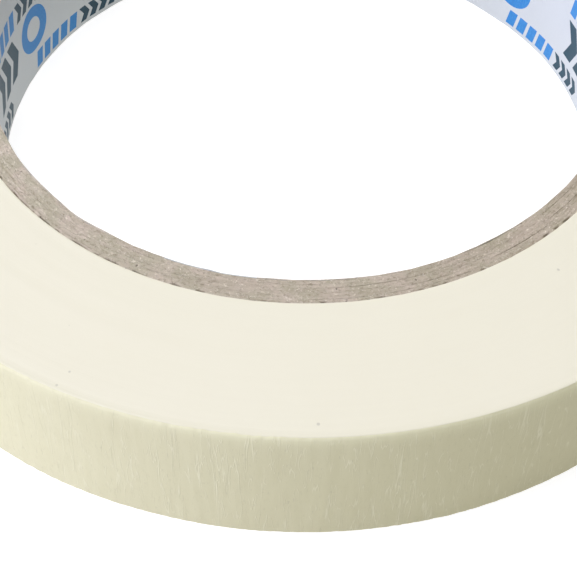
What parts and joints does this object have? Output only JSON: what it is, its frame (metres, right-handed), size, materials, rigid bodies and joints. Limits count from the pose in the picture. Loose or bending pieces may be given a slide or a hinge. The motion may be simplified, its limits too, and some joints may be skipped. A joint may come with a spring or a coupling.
{
  "type": "masking tape roll",
  "caption": "Full roll of cream crepe masking tape on a grey paperboard core with a printed paper liner; the tape's free end peels back.",
  "frame": {"origin": "centre of the core's bore at the roll's lower end face", "axes": "+Z along the core's axis; the tape winds outwards clockwise seen from +Z, and its free end lies on the +Y side"},
  "size_m": [0.1169, 0.1169, 0.018],
  "materials": {
    "crepe_tape": "matte crepe paper with a slight satin, adhesive on the inner face",
    "core_board": "matte recycled greyboard with short fibres",
    "liner_paper": "smooth white paper printed with a blue and dark pattern"
  },
  "bodies": {
    "roll": {"core_liner": "liner_paper", "core_ply_1": "core_board", "core_ply_2": "core_board", "core_ply_3": "core_board", "core_ply_4": "core_board", "core_ply_5": "core_board", "core_ply_6": "core_board", "tape_start_turn": "crepe_tape", "tape_windings": "crepe_tape", "tape_outer_turn": "crepe_tape"},
    "tape_end_1": {"free_end_1": "crepe_tape"},
    "tape_end_2": {"free_end_2": "crepe_tape"},
    "tape_end_3": {"free_end_3": "crepe_tape"},
    "tape_end_4": {"free_end_4": "crepe_tape"},
    "tape_end_5": {"free_end_5": "crepe_tape"},
    "tape_end_6": {"free_end_6": "crepe_tape"},
    "tape_end_7": {"free_end_7": "crepe_tape"},
    "tape_end_8": {"free_end_8": "crepe_tape"},
    "tape_end_9": {"free_end_9": "crepe_tape"},
    "tape_end_10": {"free_end_10": "crepe_tape"},
    "tape_end_11": {"free_end_11": "crepe_tape"},
    "tape_end_12": {"free_end_12": "crepe_tape"}
  },
  "joints": [
    {"name": "peel", "type": "hinge", "parent": "roll", "child": "tape_end_1", "pos_m": [-0.05465, 0.02102, 0.009], "axis": [0, 0, 1], "range_deg": [0, 9]},
    {"name": "bend_2", "type": "hinge", "parent": "tape_end_1", "child": "tape_end_2", "pos_m": [-0.05309, 0.0247, 0.009], "axis": [0, 0, 1], "range_deg": [0, 9]},
    {"name": "bend_3", "type": "hinge", "parent": "tape_end_2", "child": "tape_end_3", "pos_m": [-0.05128, 0.02827, 0.009], "axis": [0, 0, 1], "range_deg": [0, 9]},
    {"name": "bend_4", "type": "hinge", "parent": "tape_end_3", "child": "tape_end_4", "pos_m": [-0.04923, 0.0317, 0.009], "axis": [0, 0, 1], "range_deg": [0, 9]},
    {"name": "bend_5", "type": "hinge", "parent": "tape_end_4", "child": "tape_end_5", "pos_m": [-0.04696, 0.03499, 0.009], "axis": [0, 0, 1], "range_deg": [0, 9]},
    {"name": "bend_6", "type": "hinge", "parent": "tape_end_5", "child": "tape_end_6", "pos_m": [-0.04446, 0.03811, 0.009], "axis": [0, 0, 1], "range_deg": [0, 9]},
    {"name": "bend_7", "type": "hinge", "parent": "tape_end_6", "child": "tape_end_7", "pos_m": [-0.04175, 0.04106, 0.009], "axis": [0, 0, 1], "range_deg": [0, 9]},
    {"name": "bend_8", "type": "hinge", "parent": "tape_end_7", "child": "tape_end_8", "pos_m": [-0.03886, 0.04381, 0.009], "axis": [0, 0, 1], "range_deg": [0, 9]},
    {"name": "bend_9", "type": "hinge", "parent": "tape_end_8", "child": "tape_end_9", "pos_m": [-0.03578, 0.04637, 0.009], "axis": [0, 0, 1], "range_deg": [0, 9]},
    {"name": "bend_10", "type": "hinge", "parent": "tape_end_9", "child": "tape_end_10", "pos_m": [-0.03253, 0.0487, 0.009], "axis": [0, 0, 1], "range_deg": [0, 9]},
    {"name": "bend_11", "type": "hinge", "parent": "tape_end_10", "child": "tape_end_11", "pos_m": [-0.02913, 0.05081, 0.009], "axis": [0, 0, 1], "range_deg": [0, 9]},
    {"name": "bend_12", "type": "hinge", "parent": "tape_end_11", "child": "tape_end_12", "pos_m": [-0.02559, 0.05268, 0.009], "axis": [0, 0, 1], "range_deg": [0, 9]}
  ],
  "couplings": [
    {"joint": "bend_2", "follows": "peel", "ratio": 1},
    {"joint": "bend_3", "follows": "peel", "ratio": 1},
    {"joint": "bend_4", "follows": "peel", "ratio": 1},
    {"joint": "bend_5", "follows": "peel", "ratio": 1},
    {"joint": "bend_6", "follows": "peel", "ratio": 1},
    {"joint": "bend_7", "follows": "peel", "ratio": 1},
    {"joint": "bend_8", "follows": "peel", "ratio": 1},
    {"joint": "bend_9", "follows": "peel", "ratio": 1},
    {"joint": "bend_10", "follows": "peel", "ratio": 1},
    {"joint": "bend_11", "follows": "peel", "ratio": 1},
    {"joint": "bend_12", "follows": "peel", "ratio": 1}
  ]
}
